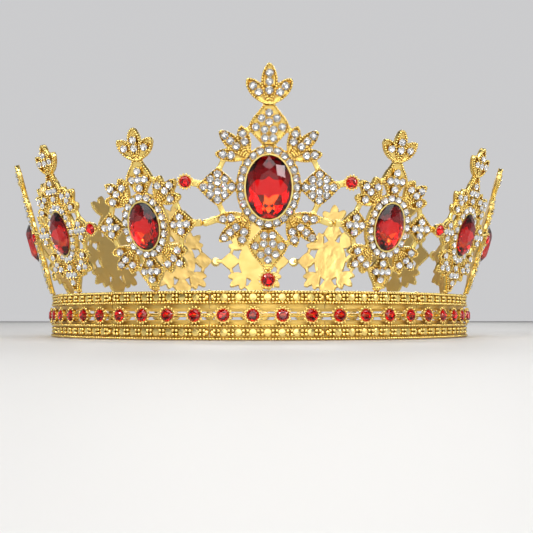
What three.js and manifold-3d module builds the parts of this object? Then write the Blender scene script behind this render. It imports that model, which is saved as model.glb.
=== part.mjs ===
// A round costume crown, cast in links and soldered: a circlet of gallery links,
// one tall front upright, thirteen smaller uprights, and the red stones they hold.
// Millimetres, +Z up, origin on the crown's axis at the circlet's lower edge.
// The front of the crown faces -Y.
import * as THREE from "three";
import { mergeVertices } from "three/addons/utils/BufferGeometryUtils.js";
import Module from "manifold-3d";

const wasm = await Module();
wasm.setup();

// How the crown is divided.
const UNIT_COUNT = 14; // one band segment and one upright in each
const STONES_PER_SEGMENT = 4;

// The circlet.
const BAND_RADIUS = 75; // outer face
const BAND_HEIGHT = 14.6;
const BAND_WALL = 1.5;
const SEGMENT_GAP = 0.35; // solder line between two segments
const LOWER_RAIL_HEIGHT = 4.6;
const UPPER_RAIL_HEIGHT = 4.6;
const BAND_CUP_RADIUS = 2.5;
const BAND_CUP_DEPTH = 2.3; // measured out from the wall's inner face
const POST_WIDTH = 2.4; // the post behind a cup, which holds the two rails apart
const POST_THICKNESS = 1.0;

// The uprights.
const PLATE_THICKNESS = 1.6;
const SEAT_INSET = 1.0; // upright's back face inside the band's outer face
const SEAT_GAP = 0.35; // solder line between upright and band
const SMALL_LEAN = THREE.MathUtils.degToRad(16);
const JOIN = 0.6; // how far one cast element runs into the next

// Stone settings.
const STONE_GAP = 0.3; // glue line round and under every stone
const BEZEL_WALL = 0.6;
const BEZEL_HEIGHT = 1.3;
const HALO_WIDTH = 1.7; // seat for the ring of small clear stones
const CUP_RADIUS = 2.1;
const CUP_DEPTH = 2.0;
const JUNCTION_STONE_RADIUS = 1.7;
const PENDANT_STONE_RADIUS = 2.0;
const PENDANT_CUP_RADIUS = 2.4;
const ROUND_STONE_DEPTH = 1.7;
const CUP_CLEARANCE = 0.35; // between a cup and the neighbour it passes

// The two patterns of upright. A leaf is [angle in degrees, length, half width].
const SMALL = {
  stone: { halfWidth: 5, halfHeight: 7, depth: 3.4 },
  leaves: [[8, 7.9, 1.7], [41, 9.0, 1.8], [75, 7.6, 1.7]],
  sideDiamond: { halfWidth: 4.6, halfHeight: 4.3 },
  upperShield: { height: 10.2, halfWidth: 4.2 },
  lowerShield: { height: 9.6, halfWidth: 4.0 },
  finial: { length: 9.3, halfWidth: 2.0, sideLength: 8.2, sideHalfWidth: 1.9 },
};
const FRONT = {
  stone: { halfWidth: 6.5, halfHeight: 9, depth: 4.0 },
  leaves: [[6, 9.3, 1.8], [42, 10.8, 2.0], [76, 8.9, 1.8]],
  sideDiamond: { halfWidth: 5.7, halfHeight: 5.4 },
  upperShield: { height: 12.2, halfWidth: 5.7 },
  lowerShield: { height: 12.2, halfWidth: 5.6 },
  finial: { length: 11.2, halfWidth: 2.1, sideLength: 9.3, sideHalfWidth: 2.0 },
};
const CLUSTER_ANGLE = THREE.MathUtils.degToRad(48); // where a leaf cluster springs from the halo
const FINIAL_SPREAD = 42; // degrees from upright to a side leaf
const NECK_HALF_WIDTH = 1.3;
const STRUT_WIDTH = 2.0;
const WEB_WIDTH = 1.5; // bars that tie the leaves to the fields beside them
const WEB_SHARE = 0.68; // how far out on a leaf a bar meets it
const FRONT_CUP_RISE = 1.4; // front junction cups above the middle of the oval

// Facets of the round shapes.
const OVAL_STEPS = 8; // points along half of an oval
const STONE_SEGMENTS = 12;
const CUP_SEGMENTS = 9;
const BAND_CUP_SEGMENTS = 8;
const LEAF_STEPS = 2; // points along each edge of a leaf

// Sizes that follow from the ones above.
const PITCH = (2 * Math.PI) / UNIT_COUNT;
const HALF_PITCH = PITCH / 2;
const SEAT_RADIUS = BAND_RADIUS - SEAT_INSET;
const BAND_INNER_RADIUS = BAND_RADIUS - BAND_WALL;

const gold = new THREE.MeshStandardMaterial({ color: 0xd8a531, roughness: 0.28, metalness: 1 });
const paleGold = new THREE.MeshStandardMaterial({ color: 0xe2b54a, roughness: 0.3, metalness: 1 });
const redGlass = new THREE.MeshStandardMaterial({ color: 0xb00418, roughness: 0.05, metalness: 0 });

// A closed geometry as a solid that can be joined and cut.
function solid(geometry) {
  const bare = geometry.index ? geometry.toNonIndexed() : geometry.clone();
  bare.deleteAttribute("normal");
  bare.deleteAttribute("uv");
  const merged = mergeVertices(bare, 1e-4);
  const vertProperties = new Float32Array(merged.attributes.position.array);
  const triVerts = new Uint32Array(merged.index.array);
  return new wasm.Manifold(new wasm.Mesh({ numProp: 3, vertProperties, triVerts }));
}

function joined(solids) {
  return solids.reduce((whole, next) => whole.add(next));
}

function namedMesh(name, body, material) {
  const { vertProperties, triVerts } = body.getMesh();
  const geometry = new THREE.BufferGeometry();
  geometry.setAttribute("position", new THREE.BufferAttribute(vertProperties, 3));
  geometry.setIndex(new THREE.BufferAttribute(triVerts, 1));
  geometry.computeVertexNormals();
  const mesh = new THREE.Mesh(geometry, material);
  mesh.name = name;
  return mesh;
}

// An outline pushed out of the plate's plane, from one depth to another.
function slab(shape, from, to, curveSegments = LEAF_STEPS) {
  const geometry = new THREE.ExtrudeGeometry(shape, {
    depth: to - from,
    bevelEnabled: false,
    curveSegments,
  });
  return geometry.translate(0, 0, from);
}

function leafShape(length, halfWidth) {
  const shape = new THREE.Shape();
  const belly = halfWidth * 2;
  shape.moveTo(0, 0);
  shape.quadraticCurveTo(length * 0.45, -belly, length, 0);
  shape.quadraticCurveTo(length * 0.45, belly, 0, 0);
  return shape;
}

function leaf(x, y, angle, length, halfWidth) {
  const geometry = slab(leafShape(length, halfWidth), 0, PLATE_THICKNESS);
  return solid(geometry.rotateZ(angle).translate(x, y, 0));
}

function diamond(x, y, halfWidth, halfHeight) {
  const shape = new THREE.Shape();
  shape.moveTo(x + halfWidth, y);
  shape.lineTo(x, y + halfHeight);
  shape.lineTo(x - halfWidth, y);
  shape.lineTo(x, y - halfHeight);
  return solid(slab(shape, 0, PLATE_THICKNESS));
}

// A shield springs from the halo at a narrow root, swells, and closes on a neck.
function shield(rootY, direction, { height, halfWidth }) {
  const shape = new THREE.Shape();
  const widestY = rootY + direction * height * 0.45;
  const bendY = rootY + direction * height * 0.8;
  const neckY = rootY + direction * height;
  shape.moveTo(-NECK_HALF_WIDTH, rootY);
  shape.lineTo(NECK_HALF_WIDTH, rootY);
  shape.lineTo(halfWidth, widestY);
  shape.quadraticCurveTo(halfWidth * 0.75, bendY, NECK_HALF_WIDTH, neckY);
  shape.lineTo(-NECK_HALF_WIDTH, neckY);
  shape.quadraticCurveTo(-halfWidth * 0.75, bendY, -halfWidth, widestY);
  return solid(slab(shape, 0, PLATE_THICKNESS));
}

function ellipseShape(halfWidth, halfHeight) {
  const shape = new THREE.Shape();
  shape.absellipse(0, 0, halfWidth, halfHeight, 0, 2 * Math.PI, false, 0);
  return shape;
}

// A straight bar in the plate between two points.
function strut(x0, y0, x1, y1, width = STRUT_WIDTH) {
  const length = Math.hypot(x1 - x0, y1 - y0);
  const shape = new THREE.Shape();
  shape.moveTo(0, -width / 2);
  shape.lineTo(length, -width / 2);
  shape.lineTo(length, width / 2);
  shape.lineTo(0, width / 2);
  const geometry = slab(shape, 0, PLATE_THICKNESS);
  return solid(geometry.rotateZ(Math.atan2(y1 - y0, x1 - x0)).translate(x0, y0, 0));
}

function cupGeometry(radius, from, to) {
  const geometry = new THREE.CylinderGeometry(radius, radius, to - from, CUP_SEGMENTS);
  return geometry.rotateX(Math.PI / 2).translate(0, 0, (from + to) / 2);
}

// Sizes of an upright that follow from its stone and from what it stands on.
function layout(kind, rootHeight) {
  const haloHalfWidth = kind.stone.halfWidth + STONE_GAP + BEZEL_WALL + HALO_WIDTH;
  const haloHalfHeight = kind.stone.halfHeight + STONE_GAP + BEZEL_WALL + HALO_WIDTH;
  const centreY = rootHeight + kind.lowerShield.height - JOIN + haloHalfHeight;
  const finialY = centreY + haloHalfHeight - JOIN + kind.upperShield.height - JOIN;
  const clusterX = Math.cos(CLUSTER_ANGLE) * (haloHalfWidth - JOIN);
  const clusterRise = Math.sin(CLUSTER_ANGLE) * (haloHalfHeight - JOIN);
  const sideX = haloHalfWidth - JOIN + kind.sideDiamond.halfWidth;
  return { haloHalfWidth, haloHalfHeight, centreY, finialY, clusterX, clusterRise, sideX };
}

// The plate's lower end clears the band's top although the plate leans over it.
function plateRoot(lean) {
  return (SEAT_GAP + PLATE_THICKNESS * Math.sin(lean)) / Math.cos(lean);
}

const small = layout(SMALL, plateRoot(SMALL_LEAN));
const smallTip = small.finialY + SMALL.finial.length;

// The front upright leans just enough for its tip to stand over the others' circle.
const FRONT_ROOT = plateRoot(SMALL_LEAN);
const pendantY = FRONT_ROOT + PENDANT_CUP_RADIUS;
const front = layout(FRONT, pendantY + PENDANT_CUP_RADIUS - JOIN + 1);
const frontTip = front.finialY + FRONT.finial.length;
const FRONT_LEAN = Math.asin((smallTip * Math.sin(SMALL_LEAN)) / frontTip);

// From an upright's own plane (x along the band, y up the plate, z outwards) to the crown.
function standing(lean, radius = SEAT_RADIUS, height = BAND_HEIGHT) {
  const place = new THREE.Matrix4().makeTranslation(0, -radius, height);
  return place.multiply(new THREE.Matrix4().makeRotationX(Math.PI / 2 + lean));
}

function turned(angle, matrix) {
  return new THREE.Matrix4().makeRotationZ(angle).multiply(matrix);
}

// A cup between two small uprights stands on the plane halfway between them.
function halfwayMatrix(side) {
  const y = small.centreY;
  const radius = (SEAT_RADIUS + y * Math.sin(SMALL_LEAN)) / Math.cos(HALF_PITCH);
  const height = BAND_HEIGHT + y * Math.cos(SMALL_LEAN);
  return turned(side * HALF_PITCH, standing(SMALL_LEAN, radius, height));
}

// Where the plane halfway to the neighbour crosses a plate, at height y up the plate.
function reachAt(y, lean) {
  return (SEAT_RADIUS + y * Math.sin(lean)) * Math.tan(HALF_PITCH);
}

// The front junction cups stand just clear of the neighbours' long upper leaves.
function frontCupX() {
  const [degrees, length] = SMALL.leaves[1];
  const angle = THREE.MathUtils.degToRad(degrees);
  const tipX = small.clusterX + Math.cos(angle) * length;
  const tipY = small.centreY + small.clusterRise + Math.sin(angle) * length;
  const tipRadius = SEAT_RADIUS + tipY * Math.sin(SMALL_LEAN);
  const tipAngle = PITCH - Math.atan2(tipX, tipRadius);
  return Math.hypot(tipX, tipRadius) * Math.sin(tipAngle) - CUP_RADIUS - CUP_CLEARANCE;
}

// Two webs tie each cluster of leaves to the diamond and the shield beside it.
function webs(kind, at, side, up) {
  const onLeaf = ([degrees, length]) => {
    const angle = THREE.MathUtils.degToRad(degrees);
    const x = at.clusterX + Math.cos(angle) * length * WEB_SHARE;
    return [side * x, at.centreY + up * (at.clusterRise + Math.sin(angle) * length * WEB_SHARE)];
  };
  const shieldRoot = at.haloHalfHeight - JOIN;
  const { height, halfWidth } = up > 0 ? kind.upperShield : kind.lowerShield;
  const shieldX = side * (halfWidth - WEB_WIDTH / 2);
  const shieldY = at.centreY + up * (shieldRoot + height * 0.45);
  const diamondX = side * at.sideX;
  const diamondY = at.centreY + up * (kind.sideDiamond.halfHeight - WEB_WIDTH);
  return [
    strut(...onLeaf(kind.leaves[2]), shieldX, shieldY, WEB_WIDTH),
    strut(...onLeaf(kind.leaves[0]), diamondX, diamondY, WEB_WIDTH),
  ];
}

// What every upright has: halo, bezel, diamonds, shields, leaves and finial.
function plateSolids(kind, at) {
  const halo = ellipseShape(at.haloHalfWidth, at.haloHalfHeight);
  const bezelX = kind.stone.halfWidth + STONE_GAP;
  const bezelY = kind.stone.halfHeight + STONE_GAP;
  const bezel = ellipseShape(bezelX + BEZEL_WALL, bezelY + BEZEL_WALL);
  bezel.holes.push(ellipseShape(bezelX, bezelY));
  const bezelTop = PLATE_THICKNESS + BEZEL_HEIGHT;
  const haloSlab = slab(halo, 0, PLATE_THICKNESS, OVAL_STEPS);
  const bezelSlab = slab(bezel, PLATE_THICKNESS - JOIN, bezelTop, OVAL_STEPS);
  const top = at.centreY + at.haloHalfHeight - JOIN;
  const bottom = at.centreY - at.haloHalfHeight + JOIN;
  const solids = [
    solid(haloSlab.translate(0, at.centreY, 0)),
    solid(bezelSlab.translate(0, at.centreY, 0)),
    shield(top, 1, kind.upperShield),
    shield(bottom, -1, kind.lowerShield),
    leaf(0, at.finialY, Math.PI / 2, kind.finial.length, kind.finial.halfWidth),
  ];
  for (const side of [-1, 1]) {
    const { halfWidth, halfHeight } = kind.sideDiamond;
    solids.push(diamond(side * at.sideX, at.centreY, halfWidth, halfHeight));
    const spread = Math.PI / 2 - side * THREE.MathUtils.degToRad(FINIAL_SPREAD);
    const { sideLength, sideHalfWidth } = kind.finial;
    solids.push(leaf(0, at.finialY, spread, sideLength, sideHalfWidth));
    for (const up of [-1, 1]) {
      for (const [degrees, length, width] of kind.leaves) {
        const lift = up * THREE.MathUtils.degToRad(degrees);
        const angle = side > 0 ? lift : Math.PI - lift;
        const y = at.centreY + up * at.clusterRise;
        solids.push(leaf(side * at.clusterX, y, angle, length, width));
      }
      solids.push(...webs(kind, at, side, up));
    }
  }
  return solids;
}

// A small upright. A cup on its right corner reaches the next upright; its left
// corner is notched round the cup of the one before. Next to the front upright
// the corner ends in a short strut instead.
function smallUpright(hasRightCup, hasLeftNotch) {
  const y = small.centreY;
  const reach = reachAt(y, SMALL_LEAN);
  const ends = [
    strut(small.sideX, y, hasRightCup ? reach : reach - CUP_CLEARANCE, y),
    strut(-small.sideX, y, hasLeftNotch ? -reach + CUP_RADIUS / 2 : -reach + CUP_CLEARANCE, y),
  ];
  const plate = joined([...plateSolids(SMALL, small), ...ends]);
  const stood = plate.transform(standing(SMALL_LEAN).elements);
  const cup = solid(cupGeometry(CUP_RADIUS, 0, CUP_DEPTH).applyMatrix4(halfwayMatrix(1)));
  const notchRadius = CUP_RADIUS + CUP_CLEARANCE;
  const notchGeometry = cupGeometry(notchRadius, -2 * CUP_DEPTH, 2 * CUP_DEPTH);
  const notch = solid(notchGeometry.applyMatrix4(halfwayMatrix(-1)));
  const withCup = hasRightCup ? stood.add(cup) : stood;
  return hasLeftNotch ? withCup.subtract(notch) : withCup;
}

const FRONT_CUP_X = frontCupX();
const frontCupY = front.centreY + FRONT_CUP_RISE;

function frontUpright() {
  const solids = plateSolids(FRONT, front);
  for (const side of [-1, 1]) {
    solids.push(strut(side * front.sideX, front.centreY, side * FRONT_CUP_X, frontCupY));
    const cup = cupGeometry(CUP_RADIUS, 0, CUP_DEPTH);
    solids.push(solid(cup.translate(side * FRONT_CUP_X, frontCupY, 0)));
    const leafX = front.clusterX + FRONT.leaves[0][1] * WEB_SHARE;
    const leafY = front.centreY - front.clusterRise;
    const endY = (small.centreY * Math.cos(SMALL_LEAN)) / Math.cos(FRONT_LEAN);
    const reach = reachAt(endY, FRONT_LEAN) - CUP_CLEARANCE;
    solids.push(strut(side * leafX, leafY, side * reach, endY));
  }
  const pendant = cupGeometry(PENDANT_CUP_RADIUS, 0, CUP_DEPTH);
  solids.push(solid(pendant.translate(0, pendantY, 0)));
  solids.push(strut(0, pendantY, 0, pendantY + PENDANT_CUP_RADIUS + 2 * JOIN));
  return joined(solids).transform(standing(FRONT_LEAN).elements);
}

// An oval stone: a foiled lower part in the bezel, a girdle, and a crown to a flat table.
function ovalStone(kind, at, lean) {
  const { halfWidth, halfHeight, depth } = kind.stone;
  const profile = [
    new THREE.Vector2(0, 0),
    new THREE.Vector2(0.8, 0),
    new THREE.Vector2(1, depth * 0.35),
    new THREE.Vector2(0.64, depth),
    new THREE.Vector2(0, depth),
  ];
  const geometry = new THREE.LatheGeometry(profile, STONE_SEGMENTS);
  geometry.rotateX(Math.PI / 2);
  geometry.scale(halfWidth, halfHeight, 1);
  geometry.translate(0, at.centreY, PLATE_THICKNESS + STONE_GAP);
  return solid(geometry.applyMatrix4(standing(lean)));
}

function roundStoneGeometry(radius) {
  const depth = ROUND_STONE_DEPTH;
  const profile = [
    new THREE.Vector2(0, 0),
    new THREE.Vector2(radius, 0),
    new THREE.Vector2(radius, depth * 0.3),
    new THREE.Vector2(radius * 0.55, depth),
    new THREE.Vector2(0, depth),
  ];
  const geometry = new THREE.LatheGeometry(profile, CUP_SEGMENTS);
  return geometry.rotateX(Math.PI / 2).translate(0, 0, CUP_DEPTH + STONE_GAP);
}

// A straight length of rail between two angles, one facet for each stone.
function railFacet(fromAngle, toAngle, bottom, top) {
  const shape = new THREE.Shape();
  const corner = (radius, angle) => [radius * Math.sin(angle), -radius * Math.cos(angle)];
  shape.moveTo(...corner(BAND_INNER_RADIUS, fromAngle));
  shape.lineTo(...corner(BAND_RADIUS, fromAngle));
  shape.lineTo(...corner(BAND_RADIUS, toAngle));
  shape.lineTo(...corner(BAND_INNER_RADIUS, toAngle));
  return solid(slab(shape, bottom, top));
}

// One segment of the circlet: an upper and a lower gallery rail, held apart by posts
// that each carry a stone cup.
function bandSegment() {
  const solderAngle = SEGMENT_GAP / 2 / BAND_RADIUS;
  const step = PITCH / STONES_PER_SEGMENT;
  const upperFrom = BAND_HEIGHT - UPPER_RAIL_HEIGHT;
  const cupHeight = (LOWER_RAIL_HEIGHT + upperFrom) / 2;
  const solids = [];
  for (let i = 0; i < STONES_PER_SEGMENT; i += 1) {
    const first = i === 0;
    const last = i === STONES_PER_SEGMENT - 1;
    const start = -HALF_PITCH + i * step + (first ? solderAngle : 0);
    const end = -HALF_PITCH + (i + 1) * step - (last ? solderAngle : 0);
    solids.push(railFacet(start, end, 0, LOWER_RAIL_HEIGHT));
    solids.push(railFacet(start, end, upperFrom, BAND_HEIGHT));
    const middle = -HALF_PITCH + (i + 0.5) * step;
    const apothem = BAND_INNER_RADIUS * Math.cos(step / 2);
    const radius = BAND_CUP_RADIUS;
    const cup = new THREE.CylinderGeometry(radius, radius, BAND_CUP_DEPTH, BAND_CUP_SEGMENTS);
    cup.translate(0, -apothem - BAND_CUP_DEPTH / 2, cupHeight);
    solids.push(solid(cup.rotateZ(middle)));
    const postHeight = upperFrom - LOWER_RAIL_HEIGHT + 2 * JOIN;
    const post = new THREE.BoxGeometry(POST_WIDTH, POST_THICKNESS, postHeight);
    post.translate(0, -apothem - BAND_WALL / 2, cupHeight);
    solids.push(solid(post.rotateZ(middle)));
  }
  return joined(solids);
}

const crown = new THREE.Group();
crown.name = "crown";

// A group for each unit carries its segment, upright and stones to their place.
const segment = bandSegment();
const plainStone = ovalStone(SMALL, small, SMALL_LEAN);
const junctionStone = roundStoneGeometry(JUNCTION_STONE_RADIUS);

for (let unit = 0; unit < UNIT_COUNT; unit += 1) {
  const place = new THREE.Group();
  place.rotation.z = unit * PITCH;
  const number = String(unit + 1).padStart(2, "0");
  place.add(namedMesh(`band_segment_${number}`, segment, gold));
  const isFront = unit === 0;
  const meetsFrontOnLeft = unit === 1;
  const meetsFrontOnRight = unit === UNIT_COUNT - 1;
  if (isFront) {
    place.add(namedMesh("front_upright", frontUpright(), paleGold));
    place.add(namedMesh("front_oval_stone", ovalStone(FRONT, front, FRONT_LEAN), redGlass));
    const pendant = roundStoneGeometry(PENDANT_STONE_RADIUS).translate(0, pendantY, 0);
    const hung = solid(pendant.applyMatrix4(standing(FRONT_LEAN)));
    place.add(namedMesh("front_pendant_stone", hung, redGlass));
    for (const [side, word] of [[-1, "left"], [1, "right"]]) {
      const stone = junctionStone.clone().translate(side * FRONT_CUP_X, frontCupY, 0);
      const set = solid(stone.applyMatrix4(standing(FRONT_LEAN)));
      place.add(namedMesh(`front_junction_stone_${word}`, set, redGlass));
    }
  } else {
    const upright = smallUpright(!meetsFrontOnRight, !meetsFrontOnLeft);
    place.add(namedMesh(`small_upright_${number}`, upright, paleGold));
    place.add(namedMesh(`small_oval_stone_${number}`, plainStone, redGlass));
    if (!meetsFrontOnRight) {
      const set = solid(junctionStone.clone().applyMatrix4(halfwayMatrix(1)));
      place.add(namedMesh(`junction_stone_${number}`, set, redGlass));
    }
  }
  crown.add(place);
}

export default crown;
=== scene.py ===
# A full round costume crown in gold plate: a circlet of soldered gallery segments,
# one tall front upright and thirteen smaller ones, each paved with clear stones
# round an oval red stone. Shapes are made in millimetres and stored in metres.
import math

import bmesh
import bpy
from mathutils import Matrix, Vector


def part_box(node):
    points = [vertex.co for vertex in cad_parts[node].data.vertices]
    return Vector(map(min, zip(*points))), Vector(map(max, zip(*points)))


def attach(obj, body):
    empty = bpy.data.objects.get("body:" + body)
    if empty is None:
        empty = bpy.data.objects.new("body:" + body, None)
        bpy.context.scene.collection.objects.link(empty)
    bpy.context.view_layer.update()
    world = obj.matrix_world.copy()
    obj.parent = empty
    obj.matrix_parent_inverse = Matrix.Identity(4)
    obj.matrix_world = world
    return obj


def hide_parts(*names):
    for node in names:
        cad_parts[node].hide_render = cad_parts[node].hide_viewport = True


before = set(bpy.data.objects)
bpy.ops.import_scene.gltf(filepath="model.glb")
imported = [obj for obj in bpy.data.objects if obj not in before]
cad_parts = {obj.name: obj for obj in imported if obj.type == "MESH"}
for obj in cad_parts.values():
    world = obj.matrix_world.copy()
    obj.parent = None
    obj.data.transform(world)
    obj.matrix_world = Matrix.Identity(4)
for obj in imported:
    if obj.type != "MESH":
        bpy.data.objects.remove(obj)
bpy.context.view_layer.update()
MM = 0.001


# The camera stands a forearm's length in front of the crown with its lens just above
# the table, and looks very slightly up at the front upright.
LENS = 55.9
SENSOR = 36.0
EYE_DISTANCE = 0.3097
EYE_HEIGHT = 0.0068
EYE_TURN = 0.038
EYE_SIDE = 0.0025
EYE_TILT = 0.0612
eye = bpy.data.cameras.new("eye")
eye.lens = LENS
eye.sensor_width = SENSOR
eye.clip_start = 0.01
eye_object = bpy.data.objects.new("eye", eye)
bpy.context.scene.collection.objects.link(eye_object)
eye_object.matrix_world = (
    Matrix.Rotation(-EYE_TURN, 4, "Z")
    @ Matrix.Translation((EYE_SIDE, -EYE_DISTANCE, EYE_HEIGHT))
    @ Matrix.Rotation(math.pi / 2 + EYE_TILT, 4, "X")
)
bpy.context.scene.camera = eye_object
bpy.context.scene.view_settings.view_transform = "Standard"


# A pale matt table top, wide enough that its edge lies far behind the crown.
TABLE_HALF = 1.1
TABLE_COLOUR = (0.72, 0.71, 0.69)
table_mesh = bmesh.new()
bmesh.ops.create_grid(table_mesh, x_segments=1, y_segments=1, size=TABLE_HALF)
table_data = bpy.data.meshes.new("table_top")
table_mesh.to_mesh(table_data)
table_mesh.free()
table = bpy.data.objects.new("table_top", table_data)
bpy.context.scene.collection.objects.link(table)
table_finish = bpy.data.materials.new("pale_table")
table_finish.use_nodes = True
table_shader = table_finish.node_tree.nodes["Principled BSDF"]
table_shader.inputs["Base Color"].default_value = (*TABLE_COLOUR, 1)
table_shader.inputs["Roughness"].default_value = 0.6
table_data.materials.append(table_finish)


# Soft studio light: a key from the upper left, a fill from the right, a wide soft box
# overhead for the sheen on the stones, a small one over the crown, a strip behind for
# the rims, and a card in front that the backs of the rear plates reflect.
def soft_box(name, place, target, width, height, power):
    lamp = bpy.data.lights.new(name, "AREA")
    lamp.shape = "RECTANGLE"
    lamp.size = width
    lamp.size_y = height
    lamp.energy = power
    holder = bpy.data.objects.new(name, lamp)
    holder.location = place
    holder.rotation_euler = (Vector(target) - Vector(place)).to_track_quat("-Z", "Y").to_euler()
    bpy.context.scene.collection.objects.link(holder)


MIDDLE = (0, 0, 0.035)
soft_box("key", (-0.42, -0.62, 0.50), MIDDLE, 0.20, 0.20, 2.2)
soft_box("fill", (0.62, -0.50, 0.30), MIDDLE, 0.16, 0.34, 1.5)
soft_box("overhead", (0.0, -0.56, 0.52), MIDDLE, 1.20, 0.34, 3.6)
soft_box("crown_top", (0.0, 0.15, 0.70), MIDDLE, 0.40, 0.40, 0.7)
soft_box("rim", (0.10, 0.75, 0.42), MIDDLE, 0.60, 0.14, 1.6)
soft_box("front_card", (0.0, -1.15, 0.20), MIDDLE, 0.90, 0.42, 2.6)

# The room is pale round the horizon and dark overhead and behind the camera, which
# gives the polished gold something dark to reflect.
HORIZON = (0.60, 0.60, 0.61, 1)
SHADE = (0.10, 0.10, 0.11, 1)
world = bpy.data.worlds.new("studio")
bpy.context.scene.world = world
world.use_nodes = True
sky_nodes = world.node_tree.nodes
sky_link = world.node_tree.links.new
sky = sky_nodes["Background"]
direction = sky_nodes.new("ShaderNodeTexCoord")
split = sky_nodes.new("ShaderNodeSeparateXYZ")
height_ramp = sky_nodes.new("ShaderNodeValToRGB")
height_ramp.color_ramp.elements[0].position = 0.42
height_ramp.color_ramp.elements[0].color = HORIZON
height_ramp.color_ramp.elements[1].position = 0.70
height_ramp.color_ramp.elements[1].color = SHADE
front_ramp = sky_nodes.new("ShaderNodeValToRGB")
front_ramp.color_ramp.elements[0].position = 0.15
front_ramp.color_ramp.elements[0].color = (0.30, 0.30, 0.30, 1)
front_ramp.color_ramp.elements[1].position = 0.62
front_ramp.color_ramp.elements[1].color = (1, 1, 1, 1)
facing_share = sky_nodes.new("ShaderNodeMapRange")
facing_share.inputs["From Min"].default_value = -1.0
shade_front = sky_nodes.new("ShaderNodeMixRGB")
shade_front.blend_type = "MULTIPLY"
shade_front.inputs["Fac"].default_value = 1.0
sky_link(direction.outputs["Generated"], split.inputs[0])
sky_link(split.outputs["Z"], height_ramp.inputs["Fac"])
sky_link(split.outputs["Y"], facing_share.inputs["Value"])
sky_link(facing_share.outputs["Result"], front_ramp.inputs["Fac"])
sky_link(height_ramp.outputs["Color"], shade_front.inputs["Color1"])
sky_link(front_ramp.outputs["Color"], shade_front.inputs["Color2"])
sky_link(shade_front.outputs["Color"], sky.inputs["Color"])


# The circlet: fourteen cast gallery segments, soldered end to end. Rope rails run
# round it. Between the outer pairs stand flat discs and fours of grain on a thin
# back strip, its gold painted darker as shade, and between the middle pair a row of claw cups on a
# wire.
PLATING_PATCHES = 260
CAVITY_REACH = 2.0 * MM
THIN_PLATING = (0.94, 0.86, 0.68, 1)
DULLING = 0.14


def gold_plate(name, bright, deep, grain_depth, grain_scale, smooth):
    """Gold plate on a zinc casting: bright on the high spots, painted darker and browner
    in the recesses as shade, with patches of thinner plating and the fine grain of the mould."""
    made = bpy.data.materials.new(name)
    made.use_nodes = True
    nodes = made.node_tree.nodes
    link = made.node_tree.links.new
    shader = nodes["Principled BSDF"]
    shader.inputs["Metallic"].default_value = 1.0
    place = nodes.new("ShaderNodeTexCoord")
    patches = nodes.new("ShaderNodeTexNoise")
    patches.inputs["Scale"].default_value = PLATING_PATCHES
    patches.inputs["Detail"].default_value = 3
    link(place.outputs["Object"], patches.inputs["Vector"])
    # Painted shade: ambient occlusion turns the colour from bright to deep in the recesses.
    cavity = nodes.new("ShaderNodeAmbientOcclusion")
    cavity.samples = 4
    cavity.inputs["Distance"].default_value = CAVITY_REACH
    painted_recess_shade = nodes.new("ShaderNodeMapRange")
    painted_recess_shade.inputs["From Min"].default_value = 0.20
    painted_recess_shade.inputs["From Max"].default_value = 0.75
    link(cavity.outputs["AO"], painted_recess_shade.inputs["Value"])
    blend = nodes.new("ShaderNodeMixRGB")
    blend.inputs["Color1"].default_value = (*deep, 1)
    blend.inputs["Color2"].default_value = (*bright, 1)
    link(painted_recess_shade.outputs["Result"], blend.inputs["Fac"])
    tone = nodes.new("ShaderNodeMixRGB")
    tone.blend_type = "MULTIPLY"
    tone.inputs["Color2"].default_value = THIN_PLATING
    link(patches.outputs["Fac"], tone.inputs["Fac"])
    link(blend.outputs["Color"], tone.inputs["Color1"])
    link(tone.outputs["Color"], shader.inputs["Base Color"])
    dull = nodes.new("ShaderNodeMapRange")
    dull.inputs["From Min"].default_value = 0.3
    dull.inputs["From Max"].default_value = 0.7
    dull.inputs["To Min"].default_value = smooth
    dull.inputs["To Max"].default_value = smooth + DULLING
    link(patches.outputs["Fac"], dull.inputs["Value"])
    link(dull.outputs["Result"], shader.inputs["Roughness"])
    sand = nodes.new("ShaderNodeTexNoise")
    sand.inputs["Scale"].default_value = grain_scale
    sand.inputs["Detail"].default_value = 2
    link(place.outputs["Object"], sand.inputs["Vector"])
    relief = nodes.new("ShaderNodeBump")
    relief.inputs["Strength"].default_value = 1.0
    relief.inputs["Distance"].default_value = grain_depth * MM
    link(sand.outputs["Fac"], relief.inputs["Height"])
    link(relief.outputs["Normal"], shader.inputs["Normal"])
    return made


GOLD_BRIGHT = (1.0, 0.80, 0.29)
GOLD_PAINTED_SHADE = (0.66, 0.40, 0.07)
casting_gold = gold_plate("casting_gold", GOLD_BRIGHT, GOLD_PAINTED_SHADE, 0.045, 1500, 0.17)
# A darker copy of the gold for the recessed back strips: painted shade.
shaded_recess_gold = gold_plate("shaded_recess_gold", (0.80, 0.57, 0.17), (0.34, 0.19, 0.03), 0.12, 900, 0.34)

low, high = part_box("band_segment_01")
BAND_HEIGHT = (high.z - low.z) / MM
BAND_OUTER = 75.0
BAND_WALL = 1.5
BAND_INNER = BAND_OUTER - BAND_WALL
UNITS = 14
STONES_EACH = 4
PITCH = 2 * math.pi / UNITS
LINK_ANGLE = PITCH / STONES_EACH
SOLDER_SLIT = 0.2 / BAND_OUTER
RAIL_HEIGHTS = (0.62, 4.3, 11.0, BAND_HEIGHT - 0.62)
RAIL_RADIUS = 0.45
ROPE_GRAIN = 0.47
ROPE_GRAINS_PER_LINK = 9
GALLERY_ROWS = (2.45, 12.5)
STRIP_SPANS = ((0.4, 5.6), (9.3, BAND_HEIGHT - 0.4))
STRIP_THICKNESS = 0.6
GRAIN_RADIUS = 0.6
GRAIN_SPREAD = 0.57
GRAIN_INSET = 0.35
DISC_RADIUS = 1.05
DISC_DEPTH = 0.9
DISC_INSET = 0.95
SEAM_ANGLE = 0.012
SEAM_SIZE = (0.85, 1.1, 0.8, 1)
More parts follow.
